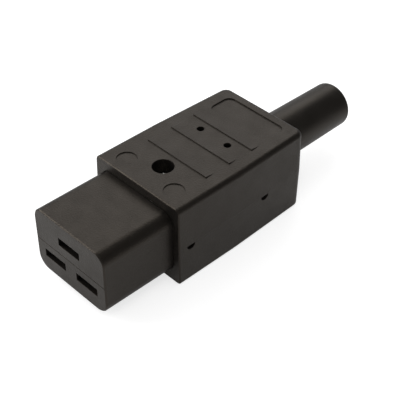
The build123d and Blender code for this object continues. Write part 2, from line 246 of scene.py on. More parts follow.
def make_draw_group() -> bpy.types.NodeTree:
    """Builds the fine lines that rolling and turning leave on metal.

    Returns:
        The group. Size is the width of one line. Stretch scales the place on each axis, and the
        lines run along the axis where it is small. Lines runs from 0 to 1 across them, and
        Tarnish from 0, bright, to 1, dull.
    """
    spot_share = 0.05
    tarnish_low, tarnish_high = 0.35, 0.7
    tree = group_tree(
        "drawn_metal",
        "ShaderNodeTree",
        {"Size": ("NodeSocketFloat", 0.1 * MM), "Stretch": ("NodeSocketVector", (0.05, 1.0, 1.0))},
        {"Lines": "NodeSocketFloat", "Tarnish": "NodeSocketFloat"},
    )
    nodes = NodeBuilder(tree)
    given = nodes.add("NodeGroupInput")
    place = nodes.add("ShaderNodeTexCoord").outputs["Object"]
    stretched = nodes.add(
        "ShaderNodeVectorMath", {0: place, 1: given.outputs["Stretch"]}, operation="MULTIPLY"
    )
    line_scale = nodes.math("DIVIDE", 1.0, given.outputs["Size"])
    lines = nodes.add(
        "ShaderNodeTexNoise",
        {"Vector": stretched.outputs[0], "Scale": line_scale, "Detail": 3.0},
    )
    spot_scale = nodes.math("MULTIPLY", line_scale, spot_share)
    spots = nodes.add("ShaderNodeTexNoise", {"Vector": place, "Scale": spot_scale, "Detail": 4.0})
    tarnish = nodes.map_range(spots.outputs["Fac"], tarnish_low, tarnish_high, 0.0, 1.0)
    nodes.add("NodeGroupOutput", {"Lines": lines.outputs["Fac"], "Tarnish": tarnish})
    return tree


# Finishes


def mixed_color(nodes: NodeBuilder, share: Any, first: tuple, second: tuple) -> bpy.types.NodeSocket:
    """Mixes two colours by a share.

    Args:
        nodes: Builder of the material's tree.
        share: Output socket that runs from 0, all first, to 1, all second.
        first: Linear colour with alpha.
        second: Linear colour with alpha.

    Returns:
        The mixed colour's output socket.
    """
    # The node's colour sockets share their names with others, so they go by number
    first_color, second_color, mixed = 6, 7, 2
    inputs = {"Factor": share, first_color: first, second_color: second}
    return nodes.add("ShaderNodeMix", inputs, data_type="RGBA").outputs[mixed]


@dataclass(frozen=True)
class MouldedFinish:
    """Black plastic or rubber as it leaves a textured mould."""

    name: str
    color: tuple[float, float, float]
    roughness: float
    grain_size: float
    grain_depth: float
    drift_size: float = 5 * MM
    color_drift: float = 0.16
    gloss_drift: float = 0.05
    edge_radius: float = 0.16 * MM
    edge_samples: int = 6
    specular: float = 0.46
    sheen_tint: tuple[float, float, float, float] = (1.0, 0.84, 0.68, 1.0)

    def material(self, grain: bpy.types.NodeTree) -> bpy.types.Material:
        """Builds the material.

        Args:
            grain: The shared grain group.

        Returns:
            The new material.
        """
        made = bpy.data.materials.new(self.name)
        made.use_nodes = True
        nodes = NodeBuilder(made.node_tree)
        texture = nodes.add("ShaderNodeGroup", node_tree=grain)
        texture.inputs["Size"].default_value = self.grain_size
        texture.inputs["Drift"].default_value = self.drift_size
        mottle = texture.outputs["Mottle"]
        dark, light = (
            (*[channel * (1 + sign * self.color_drift) for channel in self.color], 1.0)
            for sign in (-1, 1)
        )
        softened = nodes.add(
            "ShaderNodeBevel", {"Radius": self.edge_radius}, samples=self.edge_samples
        )
        bump = nodes.add(
            "ShaderNodeBump",
            {
                "Strength": 1.0,
                "Distance": self.grain_depth,
                "Height": texture.outputs["Height"],
                "Normal": softened.outputs["Normal"],
            },
        )
        glossy = self.roughness - self.gloss_drift
        dull = self.roughness + self.gloss_drift
        surface = nodes.add(
            "ShaderNodeBsdfPrincipled",
            {
                "Base Color": mixed_color(nodes, mottle, dark, light),
                "Roughness": nodes.map_range(mottle, 0.0, 1.0, glossy, dull),
                "Specular IOR Level": self.specular,
                "Specular Tint": self.sheen_tint,
                "Normal": bump.outputs["Normal"],
            },
        )
        nodes.add("ShaderNodeOutputMaterial", {"Surface": surface.outputs["BSDF"]})
        return made


@dataclass(frozen=True)
class MetalFinish:
    """Rolled or turned metal with fine lines and a little tarnish."""

    name: str
    color: tuple[float, float, float]
    tarnished: tuple[float, float, float]
    roughness: float
    line_size: float = 0.12 * MM
    line_depth: float = 0.004 * MM
    line_low: float = 0.3
    line_high: float = 0.7
    line_roughening: float = 0.15
    stretch: tuple[float, float, float] = (1.0, 0.06, 1.0)

    def material(self, draw: bpy.types.NodeTree) -> bpy.types.Material:
        """Builds the material.

        Args:
            draw: The shared group of draw lines.

        Returns:
            The new material.
        """
        made = bpy.data.materials.new(self.name)
        made.use_nodes = True
        nodes = NodeBuilder(made.node_tree)
        texture = nodes.add("ShaderNodeGroup", node_tree=draw)
        texture.inputs["Size"].default_value = self.line_size
        texture.inputs["Stretch"].default_value = self.stretch
        lines, tarnish = texture.outputs["Lines"], texture.outputs["Tarnish"]
        bump = nodes.add(
            "ShaderNodeBump", {"Strength": 1.0, "Distance": self.line_depth, "Height": lines}
        )
        color = mixed_color(nodes, tarnish, (*self.color, 1.0), (*self.tarnished, 1.0))
        roughest = self.roughness + self.line_roughening
        surface = nodes.add(
            "ShaderNodeBsdfPrincipled",
            {
                "Base Color": color,
                "Metallic": 1.0,
                "Roughness": nodes.map_range(
                    lines, self.line_low, self.line_high, self.roughness, roughest
                ),
                "Normal": bump.outputs["Normal"],
            },
        )
        nodes.add("ShaderNodeOutputMaterial", {"Surface": surface.outputs["BSDF"]})
        return made


@dataclass
class Finishes:
    """One material for each slot of the record."""

    shell: MouldedFinish = MouldedFinish(
        name="satin_shell_plastic",
        color=(0.0070, 0.0065, 0.0060),
        roughness=0.40,
        grain_size=0.42 * MM,
        grain_depth=0.045 * MM,
    )
    nose: MouldedFinish = MouldedFinish(
        name="satin_nose_plastic",
        color=(0.0074, 0.0069, 0.0064),
        roughness=0.40,
        grain_size=0.42 * MM,
        grain_depth=0.036 * MM,
    )
    sleeve: MouldedFinish = MouldedFinish(
        name="smooth_sleeve_rubber",
        color=(0.0080, 0.0077, 0.0073),
        roughness=0.38,
        grain_size=0.25 * MM,
        grain_depth=0.008 * MM,
    )
    brass: MetalFinish = MetalFinish(
        name="rolled_brass",
        color=(0.78, 0.57, 0.28),
        tarnished=(0.52, 0.36, 0.17),
        roughness=0.28,
    )
    steel: MetalFinish = MetalFinish(
        name="zinc_plated_steel",
        color=(0.62, 0.62, 0.60),
        tarnished=(0.45, 0.44, 0.41),
        roughness=0.3,
    )
    materials: dict[Slot, bpy.types.Material] = field(default_factory=dict)

    def build(self) -> None:
        """Builds the shared groups and every material."""
        grain, draw = make_grain_group(), make_draw_group()
        moulded = {Slot.SHELL: self.shell, Slot.NOSE: self.nose, Slot.SLEEVE: self.sleeve}
        metals = {Slot.BRASS: self.brass, Slot.STEEL: self.steel}
        for slot, finish in moulded.items():
            self.materials[slot] = finish.material(grain)
        for slot, finish in metals.items():
            self.materials[slot] = finish.material(draw)

    def dress(self, piece: bpy.types.Object, slot: Slot) -> None:
        """Gives a piece its slot's material as its only one.

        Args:
            piece: A finished piece, or a node of the frame.
            slot: The slot that it belongs to.
        """
        piece.data.materials.clear()
        piece.data.materials.append(self.materials[slot])


# Meshes and pieces


def add_piece(name: str, mesh: bpy.types.Mesh) -> bpy.types.Object:
    """Puts a mesh into the scene as one object at the origin.

    Args:
        name: The piece's name.
        mesh: Its finished or unfinished mesh.

    Returns:
        The new object.
    """
    piece = bpy.data.objects.new(name, mesh)
    bpy.context.scene.collection.objects.link(piece)
    return piece


def bake_modifiers(piece: bpy.types.Object) -> None:
    """Turns what a piece's modifiers show into its plain mesh, and takes them off.

    Args:
        piece: The piece, which gets a new mesh.
    """
    shown = piece.evaluated_get(bpy.context.evaluated_depsgraph_get())
    mesh = bpy.data.meshes.new_from_object(shown)
    piece.modifiers.clear()
    piece.data = mesh


def join_doubles(mesh: bpy.types.Mesh, face_outwards: bool) -> None:
    """Merges the points of a mesh that lie on each other.

    Args:
        mesh: The mesh, changed in place.
        face_outwards: Whether every face of this closed mesh is also turned outwards.
    """
    body = bmesh.new()
    body.from_mesh(mesh)
    bmesh.ops.remove_doubles(body, verts=body.verts, dist=MERGE_DISTANCE)
    if face_outwards:
        bmesh.ops.recalc_face_normals(body, faces=body.faces)
    body.to_mesh(mesh)
    body.free()


def shade_moulding(mesh: bpy.types.Mesh) -> None:
    """Shades a mesh smooth, apart from the edges that really are sharp.

    Args:
        mesh: The mesh, changed in place.
    """
    body = bmesh.new()
    body.from_mesh(mesh)
    for face in body.faces:
        face.smooth = True
    for edge in body.edges:
        edge.smooth = edge.is_manifold and edge.calc_face_angle(0.0) < SHARP_ANGLE
    body.to_mesh(mesh)
    body.free()


def level_flats(piece: bpy.types.Object) -> None:
    """Weights a piece's normals by face area, so that flats stay flat beside their fillets.

    Args:
        piece: The piece, which gets a new mesh.
    """
    weighted = piece.modifiers.new("level_flats", "WEIGHTED_NORMAL")
    weighted.mode = "FACE_AREA"
    weighted.keep_sharp = True
    bake_modifiers(piece)


def smooth_copy(node: str, name: str) -> bpy.types.Object:
    """Copies a CAD node with its triangles joined and its rounds shaded smooth.

    Args:
        node: The CAD node.
        name: The new piece's name.

    Returns:
        The new piece, which stands for the node and rides where it does.
    """
    mesh = frame["nodes"][node].data.copy()
    mesh.name = name
    join_doubles(mesh, face_outwards=False)
    shade_moulding(mesh)
    piece = add_piece(name, mesh)
    level_flats(piece)
    settle(piece, node)
    return piece


def settle(piece: bpy.types.Object, node: str) -> None:
    """Lets a finished piece stand for a CAD node and ride on the part's one body.

    Args:
        piece: The finished piece.
        node: The CAD node that it stands for.
    """
    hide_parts(node)
    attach(piece, ROOT_BODY)
    log.info("%s stands for %s with %d faces", piece.name, node, len(piece.data.polygons))


@dataclass
class Housing:
    """The two moulded half shells."""

    shells: dict[str, str] = field(
        default_factory=lambda: {
            "upper_shell": "upper_shell_moulding",
            "lower_shell": "lower_shell_moulding",
        }
    )
    pieces: list[bpy.types.Object] = field(default_factory=list)

    def build(self) -> None:
        """Copies each shell with smooth rounds."""
        self.pieces = [smooth_copy(node, name) for node, name in self.shells.items()]

    def dress(self, finishes: Finishes) -> None:
        """Gives both shells the satin plastic."""
        for piece in self.pieces:
            finishes.dress(piece, Slot.SHELL)


@dataclass
class NoseBlock:
    """The contact block, whose front is the nose, and the plate that closes its pockets."""

    mouldings: dict[str, str] = field(
        default_factory=lambda: {
            "contact_block": "contact_block_moulding",
            "contact_retainer": "contact_retainer_plate",
        }
    )
    pieces: list[bpy.types.Object] = field(default_factory=list)

    def build(self) -> None:
        """Copies both mouldings with smooth rounds."""
        self.pieces = [smooth_copy(node, name) for node, name in self.mouldings.items()]

    def dress(self, finishes: Finishes) -> None:
        """Gives the block and its plate the nose's plastic."""
        for piece in self.pieces:
            finishes.dress(piece, Slot.NOSE)


@dataclass
class Contacts:
    """The folded brass contacts, their box terminals and the shell's threaded insert."""

    poles: tuple[str, ...] = ("line", "neutral", "earth")
    insert: str = "screw_insert"
    nodes: list[str] = field(default_factory=list)

    def build(self) -> None:
        """Lists the brass nodes, which are shown as the CAD has them."""
        self.nodes = [f"{pole}_{kind}" for pole in self.poles for kind in ("contact", "terminal")]
        self.nodes.append(self.insert)

    def dress(self, finishes: Finishes) -> None:
        """Gives each node the rolled brass.

        Args:
            finishes: The materials of the slots.
        """
        for node in self.nodes:
            finishes.dress(frame["nodes"][node], Slot.BRASS)
            log.info("%s is dressed as brass", node)


@dataclass
class CordGrip:
    """The clamp bridge that holds the cord."""

    node: str = "cord_clamp"
    name: str = "cord_clamp_bridge"
    piece: bpy.types.Object | None = None

    def build(self) -> None:
        """Copies the bridge with a smooth arch."""
        self.piece = smooth_copy(self.node, self.name)

    def dress(self, finishes: Finishes) -> None:
        """Gives the bridge the shell's plastic."""
        finishes.dress(self.piece, Slot.SHELL)


# Pieces that follow a rule


def grown_piece(name: str, tree: bpy.types.NodeTree, values: dict[str, Any]) -> bpy.types.Object:
    """Runs a geometry tree and keeps its result as a plain mesh.

    Args:
        name: The new piece's name.
        tree: The geometry group.
        values: Input name, to its value.

    Returns:
        The new piece, with no modifier left on it.
    """
    piece = add_piece(name, bpy.data.meshes.new(name))
    grower = piece.modifiers.new("grower", "NODES")
    grower.node_group = tree
    for item in tree.interface.items_tree:
        if item.item_type == "SOCKET" and item.in_out == "INPUT" and item.name in values:
            grower[item.identifier] = values[item.name]
    bake_modifiers(piece)
    return piece


class GeometryRule:
    """A geometry tree that takes lengths, one count and a material, and gives one mesh."""

    name: str
    lengths: tuple[str, ...]
    count: tuple[str, int]

    def __init__(self) -> None:
        """Makes the tree with its inputs."""
        count_label, count_default = self.count
        inputs: dict[str, tuple[str, Any]] = {
            label: ("NodeSocketFloat", 1.0) for label in self.lengths
        }
        inputs[count_label] = ("NodeSocketInt", count_default)
        inputs["Material"] = ("NodeSocketMaterial", None)
        outputs = {"Geometry": "NodeSocketGeometry"}
        self.tree = group_tree(self.name, "GeometryNodeTree", inputs, outputs)
        self.nodes = NodeBuilder(self.tree)
        self.given = self.nodes.add("NodeGroupInput").outputs

    def ended(self, meshes: tuple[bpy.types.NodeSocket, ...]) -> bpy.types.NodeTree:
        """Joins meshes, gives them the material and ends the tree with them.

        Args:
            meshes: The output sockets of the meshes.

        Returns:
            The geometry group.
        """
        joined = self.nodes.add("GeometryNodeJoinGeometry")
        for mesh in meshes:
            self.nodes.feed(joined.inputs[0], mesh)
        real = self.nodes.add("GeometryNodeRealizeInstances", {"Geometry": joined.outputs[0]})
        dressed = self.nodes.add(
            "GeometryNodeSetMaterial",
            {"Geometry": real.outputs[0], "Material": self.given["Material"]},
        )
        self.nodes.add("NodeGroupOutput", {"Geometry": dressed.outputs[0]})
        return self.tree


class SleeveRule(GeometryRule):
    """The rule of the bend sleeve: its wall and its flange are swept round one circle.

    The sleeve grows down from its root, and a depth is measured from there.
    """

    name: str = "bend_sleeve"
    lengths: tuple[str, ...] = (
        "Bore Radius",
        "Root Radius",
        "End Radius",
        "Flange Radius",
        "Flange End",
        "End",
        "End Round",
        "Mouth Round",
    )
    count: tuple[str, int] = ("Steps Round", 128)
    root_depth: float = 0.0
    corner_steps: int = 10
    end_corner: int = 2
    mouth_corner: int = 3

    def build(self) -> bpy.types.NodeTree:
        """Sweeps both sections round the circle and joins them.

        Returns:
            The geometry group.
        """
        circle = self.nodes.add(
            "GeometryNodeCurvePrimitiveCircle",
            {"Resolution": self.given["Steps Round"], "Radius": self.given["Bore Radius"]},
        )
        upright = self.nodes.add(
            "GeometryNodeSetCurveNormal", {"Curve": circle.outputs["Curve"]}, mode="Z_UP"
        )
        flange_radius = self.given["Flange Radius"]
        flange = self.section(flange_radius, flange_radius, self.given["Flange End"])
        wall = self.section(self.given["Root Radius"], self.given["End Radius"], self.given["End"])
        flange_mesh, wall_mesh = (
            self.nodes.add(
                "GeometryNodeCurveToMesh",
                {"Curve": upright.outputs[0], "Profile Curve": profile, "Fill Caps": False},
            ).outputs[0]
            for profile in (flange, self.rounded(wall))
        )
        return self.ended((flange_mesh, wall_mesh))

    def section(self, root_radius: Any, end_radius: Any, end_depth: Any) -> bpy.types.NodeSocket:
        """Draws a four-cornered half section from the root down.

        Args:
            root_radius: Outer radius at the root.
            end_radius: Outer radius at the end.
            end_depth: Depth of the end.

        Returns:
            The closed curve, whose X is the distance from the bore's wall and whose Y is a depth.
        """
        bore = self.given["Bore Radius"]
        corners = (
            (bore, self.root_depth),
            (root_radius, self.root_depth),
            (end_radius, end_depth),
            (bore, end_depth),
        )
        inputs = {
            f"Point {number}": self.nodes.combine(self.nodes.math("SUBTRACT", radius, bore), depth)
            for number, (radius, depth) in enumerate(corners, start=1)
        }
        quad = self.nodes.add("GeometryNodeCurvePrimitiveQuadrilateral", inputs, mode="POINTS")
        return quad.outputs[0]

    def rounded(self, wall: bpy.types.NodeSocket) -> bpy.types.NodeSocket:
        """Rounds the two corners of the wall's open end.

        Args:
            wall: The wall's section.

        Returns:
            The rounded section.
        """
        # The node's integer sockets share their names with others, so they go by number
        first_integer, second_integer = 2, 3
        corner = self.nodes.add("GeometryNodeInputIndex").outputs[0]
        rounding: Any = 0.0
        for number, radius in ((self.mouth_corner, "Mouth Round"), (self.end_corner, "End Round")):
            is_corner = self.nodes.add(
                "FunctionNodeCompare",
                {first_integer: corner, second_integer: number},
                data_type="INT",
                operation="EQUAL",
            )
            rounding = self.nodes.math(
                "MULTIPLY_ADD", is_corner.outputs[0], self.given[radius], rounding
            )
        inputs = {
            "Curve": wall,
            "Count": self.corner_steps,
            "Radius": rounding,
            "Limit Radius": True,
        }
        return self.nodes.add("GeometryNodeFilletCurve", inputs, mode="POLY").outputs[0]


@dataclass
class BendSleeve:
    """The rubber sleeve behind the body, swept round the cord's axis."""

    node: str = "cord_boot"
    name: str = "bend_sleeve"
    bore_r: float = 5.2 * MM
    root_r: float = 7.4 * MM
    end_r: float = 7.0 * MM
    flange_r: float = 9.4 * MM
    flange_t: float = 2.1 * MM
    end_round: float = 1.3 * MM
    mouth_round: float = 0.4 * MM
    piece: bpy.types.Object | None = None

    def build(self) -> None:
        """Sweeps the sleeve and lays it along the cord's axis."""
        low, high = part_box(self.node)
        values = {
            "Bore Radius": self.bore_r,
            "Root Radius": self.root_r,
            "End Radius": self.end_r,
            "Flange Radius": self.flange_r,
            "Flange End": self.flange_t,
            "End": high.y - low.y,
            "End Round": self.end_round,
            "Mouth Round": self.mouth_round,
        }
        self.piece = grown_piece(self.name, SleeveRule().build(), values)
        middle = (low + high) / 2
        turn = Matrix.Rotation(math.radians(90), 4, "X")
        self.piece.data.transform(Matrix.Translation((middle.x, low.y, middle.z)) @ turn)
        join_doubles(self.piece.data, face_outwards=True)
        shade_moulding(self.piece.data)
        level_flats(self.piece)
        settle(self.piece, self.node)

    def dress(self, finishes: Finishes) -> None:
        """Gives the sleeve the smooth rubber."""
        finishes.dress(self.piece, Slot.SLEEVE)


class ScrewRule(GeometryRule):
    """The rule of a screw: a turned head with a driver recess, and a helical thread.

    The head's seat is at height 0, the head stands above it and the threaded shank hangs below.
    """

    name: str = "machine_screw"
    lengths: tuple[str, ...] = (
        "Head Radius",
        "Head Height",
        "Head Round",
        "Shank Radius",
        "Shank Length",
        "Pitch",
        "Thread Depth",
        "Recess Width",
        "Recess Length",
        "Recess Depth",
        "Recess Top Radius",
        "Recess Floor Radius",
    )
    count: tuple[str, int] = ("Recess Arms", 1)
    head_steps: int = 48
    head_rows: int = 16
    funnel_steps: int = 32
    overcut: float = 0.2
    shank_steps: int = 40
    rows_per_turn: float = 8.0

    def __init__(self) -> None:
        """Makes the tree with its inputs and the place of each point."""
        super().__init__()
        position = self.nodes.add("GeometryNodeInputPosition").outputs[0]
        self.x, self.y, self.z = self.nodes.add("ShaderNodeSeparateXYZ", {0: position}).outputs

    def build(self) -> bpy.types.NodeTree:
        """Cuts the recess into the head and joins the head and the shank.

        Returns:
            The geometry group.
        """
        cutter = self.boolean("INTERSECT", (self.funnel(), self.arms()))
        cut_head = self.boolean("DIFFERENCE", (cutter,), self.head())
        return self.ended((self.shank(), cut_head))

    def drawn_in(self, mesh: Any, cut: Any, radius: Any) -> bpy.types.NodeSocket:
        """Draws the points of a turned mesh towards its axis.

        Args:
            mesh: The mesh.
            cut: How far a point at the full radius moves.
            radius: The full radius.

        Returns:
            The output socket of the changed mesh.
        """
        nodes = self.nodes
        factor = nodes.math("SUBTRACT", 1.0, nodes.math("DIVIDE", cut, radius))
        x, y = (nodes.math("MULTIPLY", value, factor) for value in (self.x, self.y))
        inputs = {"Geometry": mesh, "Position": nodes.combine(x, y, self.z)}
        return nodes.add("GeometryNodeSetPosition", inputs).outputs[0]

    def lifted(self, mesh: Any, height: Any) -> bpy.types.NodeSocket:
        """Lifts a mesh by a height and returns its output."""
        inputs = {"Geometry": mesh, "Translation": self.nodes.combine(z=height)}
        return self.nodes.add("GeometryNodeTransform", inputs).outputs[0]

    def boolean(
        self, operation: str, cutters: tuple[Any, ...], target: Any = None
    ) -> bpy.types.NodeSocket:
        """Cuts a closed mesh, or intersects closed meshes with each other.

        Args:
            operation: The kind of cut, as Blender names it.
            cutters: The meshes that cut, or that are intersected.
            target: The mesh that is cut, where there is one.

        Returns:
            The output socket of the mesh that is left.
        """
        cutting = self.nodes.add("GeometryNodeMeshBoolean", operation=operation, solver="EXACT")
        if target is not None:
            self.nodes.feed(cutting.inputs["Mesh 1"], target)
        for cutter in cutters:
            self.nodes.feed(cutting.inputs["Mesh 2"], cutter)
        cutting.inputs["Self Intersection"].default_value = True
        return cutting.outputs["Mesh"]

    def head(self) -> bpy.types.NodeSocket:
        """Turns the head, with its upper edge rounded.

        Returns:
            The mesh's output socket.
        """
        nodes = self.nodes
        radius, height = self.given["Head Radius"], self.given["Head Height"]
        rounding = self.given["Head Round"]
        blank = nodes.add(
            "GeometryNodeMeshCylinder",
            {
                "Vertices": self.head_steps,
                "Side Segments": self.head_rows,
                "Radius": radius,
                "Depth": height,
            },
        )
        half_height = nodes.math("MULTIPLY", height, 0.5)
        into_round = nodes.math("ADD", nodes.math("SUBTRACT", self.z, half_height), rounding)
        share = nodes.add("ShaderNodeClamp", {"Value": nodes.math("DIVIDE", into_round, rounding)})
        squared = nodes.math("POWER", share.outputs[0], 2.0)
        arc = nodes.math("SQRT", nodes.math("SUBTRACT", 1.0, squared))
        cut = nodes.math("MULTIPLY", nodes.math("SUBTRACT", 1.0, arc), rounding)
        return self.lifted(self.drawn_in(blank.outputs["Mesh"], cut, radius), half_height)

    def arms(self) -> bpy.types.NodeSocket:
        """Crosses as many bars as the recess has arms, round the axis at the head's top.

        Returns:
            The mesh's output socket.
        """
        nodes = self.nodes
        height = nodes.math("MULTIPLY", self.given["Recess Depth"], 2.0 + self.overcut)
        size = nodes.combine(self.given["Recess Length"], self.given["Recess Width"], height)
        bar = nodes.add("GeometryNodeMeshCube", {"Size": size})
        crossing = nodes.add(
            "GeometryNodeMeshLine",
            {
                "Count": self.given["Recess Arms"],
                "Start Location": nodes.combine(z=self.given["Head Height"]),
                "Offset": (0.0, 0.0, 0.0),
            },
            mode="OFFSET",
        )
        number = nodes.add("GeometryNodeInputIndex").outputs[0]
        crossed = nodes.add(
            "GeometryNodeInstanceOnPoints",
            {
                "Points": crossing.outputs[0],
                "Instance": bar.outputs["Mesh"],
                "Rotation": nodes.combine(z=nodes.math("MULTIPLY", number, math.pi / 2)),
            },
        )
        real = nodes.add("GeometryNodeRealizeInstances", {"Geometry": crossed.outputs[0]})
        return real.outputs[0]

    def funnel(self) -> bpy.types.NodeSocket:
        """Makes the cone that slopes the ends of the arms, from the recess's floor upwards.

        Returns:
            The mesh's output socket. The cone is twice as high as the recess is deep, and has the
            recess's top radius at the head's top.
        """
        nodes = self.nodes
        floor_radius, depth = self.given["Recess Floor Radius"], self.given["Recess Depth"]
        twice_top = nodes.math("MULTIPLY", self.given["Recess Top Radius"], 2.0)
        cone = nodes.add(
            "GeometryNodeMeshCone",
            {
                "Vertices": self.funnel_steps,
                "Radius Top": nodes.math("SUBTRACT", twice_top, floor_radius),
                "Radius Bottom": floor_radius,
                "Depth": nodes.math("MULTIPLY", depth, 2.0),
            },
        )
        foot = nodes.math("SUBTRACT", self.given["Head Height"], depth)
        return self.lifted(cone.outputs["Mesh"], foot)

    def shank(self) -> bpy.types.NodeSocket:
        """Winds the thread into the shank, which tapers over one pitch at its tip.

        Returns:
            The mesh's output socket.
        """
        nodes = self.nodes
        radius, length = self.given["Shank Radius"], self.given["Shank Length"]
        pitch = self.given["Pitch"]
        rows = nodes.math("MULTIPLY", nodes.math("DIVIDE", length, pitch), self.rows_per_turn)
        blank = nodes.add(
            "GeometryNodeMeshCylinder",
            {
                "Vertices": self.shank_steps,
                "Side Segments": rows,
                "Radius": radius,
                "Depth": length,
            },
        )
        turn_share = nodes.math("DIVIDE", nodes.math("ARCTAN2", self.y, self.x), 2 * math.pi)
        phase = nodes.math("ADD", nodes.math("DIVIDE", self.z, pitch), turn_share)
        wave = nodes.math("MULTIPLY", nodes.math("PINGPONG", phase, 0.5), 2.0)
        half_length = nodes.math("MULTIPLY", length, 0.5)
        from_tip = nodes.math("DIVIDE", nodes.math("ADD", self.z, half_length), pitch)
        tip_taper = nodes.map_range(from_tip, 0.0, 1.0, 1.0, 0.0)
        share = nodes.math("MAXIMUM", wave, tip_taper)
        cut = nodes.math("MULTIPLY", share, self.given["Thread Depth"])
        below_seat = nodes.math("MULTIPLY", half_length, -1.0)
        return self.lifted(self.drawn_in(blank.outputs["Mesh"], cut, radius), below_seat)


@dataclass(frozen=True)
class ScrewSize:
    """The turned sizes of one kind of screw.

    The default recess radii are wider than any head, so the ends of a plain slot aren't sloped.
    """

    head_r: float
    head_h: float
    head_round: float
    shank_r: float
    recess: Recess
    recess_w: float
    recess_len: float
    recess_depth: float
    recess_top_r: float = 6.0 * MM
    recess_floor_r: float = 6.0 * MM
    turned: float = 0.0
    pitch: float = 0.5 * MM
    thread_depth: float = 0.26 * MM


TERMINAL_SCREW = ScrewSize(
    head_r=2.1 * MM,
    head_h=1.2 * MM,
    head_round=0.25 * MM,
    shank_r=1.5 * MM,
    recess=Recess.SLOT,
    recess_w=0.8 * MM,
    recess_len=6.0 * MM,
    recess_depth=0.6 * MM,
)
CLAMP_SCREW = ScrewSize(
    head_r=2.4 * MM,
    head_h=1.7 * MM,
    head_round=0.3 * MM,
    shank_r=1.45 * MM,
    recess=Recess.SLOT,
    recess_w=0.8 * MM,
    recess_len=6.0 * MM,
    recess_depth=0.6 * MM,
    pitch=0.7 * MM,
    thread_depth=0.3 * MM,
)
SHELL_SCREW = ScrewSize(
    head_r=2.7 * MM,
    head_h=2.1 * MM,
    head_round=0.3 * MM,
    shank_r=1.5 * MM,
    recess=Recess.CROSS,
    recess_w=0.6 * MM,
    recess_len=5.2 * MM,
    recess_depth=1.6 * MM,
    recess_top_r=2.45 * MM,
    recess_floor_r=0.4 * MM,
    turned=45.0,
)


@dataclass
class Screws:
    """Every screw of the connector, grown from one rule."""

    sizes: dict[str, ScrewSize] = field(
        default_factory=lambda: {
            "shell_screw": SHELL_SCREW,
            "line_terminal_screw": TERMINAL_SCREW,
            "neutral_terminal_screw": TERMINAL_SCREW,
            "earth_terminal_screw": TERMINAL_SCREW,
            "clamp_screw_left": CLAMP_SCREW,
            "clamp_screw_right": CLAMP_SCREW,
        }
    )
    facing_down: tuple[str, ...] = ("line_terminal_screw", "neutral_terminal_screw")
    pieces: list[bpy.types.Object] = field(default_factory=list)

    def build(self) -> None:
        """Grows each screw and sets it where its CAD node is."""
        rule = ScrewRule().build()
        for node, size in self.sizes.items():
            self.pieces.append(self.grow(node, size, rule))

    def grow(self, node: str, size: ScrewSize, rule: bpy.types.NodeTree) -> bpy.types.Object:
        """Grows one screw.

        Args:
            node: The CAD node that it stands for.
            size: Its turned sizes.
            rule: The geometry group of the screws.

        Returns:
            The finished piece.
        """
        low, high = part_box(node)
        values = {
            "Head Radius": size.head_r,
            "Head Height": size.head_h,
            "Head Round": size.head_round,
            "Shank Radius": size.shank_r,
            "Shank Length": high.z - low.z - size.head_h,
            "Pitch": size.pitch,
            "Thread Depth": size.thread_depth,
            "Recess Width": size.recess_w,
            "Recess Length": size.recess_len,
            "Recess Depth": size.recess_depth,
            "Recess Top Radius": size.recess_top_r,
            "Recess Floor Radius": size.recess_floor_r,
            "Recess Arms": size.recess.value,
        }
        piece = grown_piece(f"{node}_turned", rule, values)
        middle = (low + high) / 2
        if node in self.facing_down:
            seat = Vector((middle.x, middle.y, low.z + size.head_h))
            turn = Matrix.Rotation(math.pi, 4, "X")
        else:
            seat = Vector((middle.x, middle.y, high.z - size.head_h))
            turn = Matrix.Identity(4)
        spin = Matrix.Rotation(math.radians(size.turned), 4, "Z")
        piece.data.transform(Matrix.Translation(seat) @ turn @ spin)
        join_doubles(piece.data, face_outwards=True)
        shade_moulding(piece.data)
        settle(piece, node)
        return piece

    def dress(self, finishes: Finishes) -> None:
        """Gives every screw the plated steel."""
        for piece in self.pieces:
            finishes.dress(piece, Slot.STEEL)


# Studio


@dataclass(frozen=True)
class Panel:
    """One soft rectangular lamp that faces the part."""

    name: str
    toward: tuple[float, float, float]
    width: float
    height: float
    power: float
    distance: float = 0.9

    def build(self, aim: Vector) -> None:
        """Hangs the lamp at its distance from the aim, facing it.

        Args:
            aim: The point that it faces.
        """
        lamp = bpy.data.lights.new(self.name, "AREA")
        lamp.shape = "RECTANGLE"
        lamp.size = self.width
        lamp.size_y = self.height
        lamp.energy = self.power
        hung = bpy.data.objects.new(self.name, lamp)
        bpy.context.scene.collection.objects.link(hung)
        away = Vector(self.toward).normalized()
        hung.location = aim + away * self.distance
        hung.rotation_mode = "QUATERNION"
        hung.rotation_quaternion = away.to_track_quat("Z", "Y")


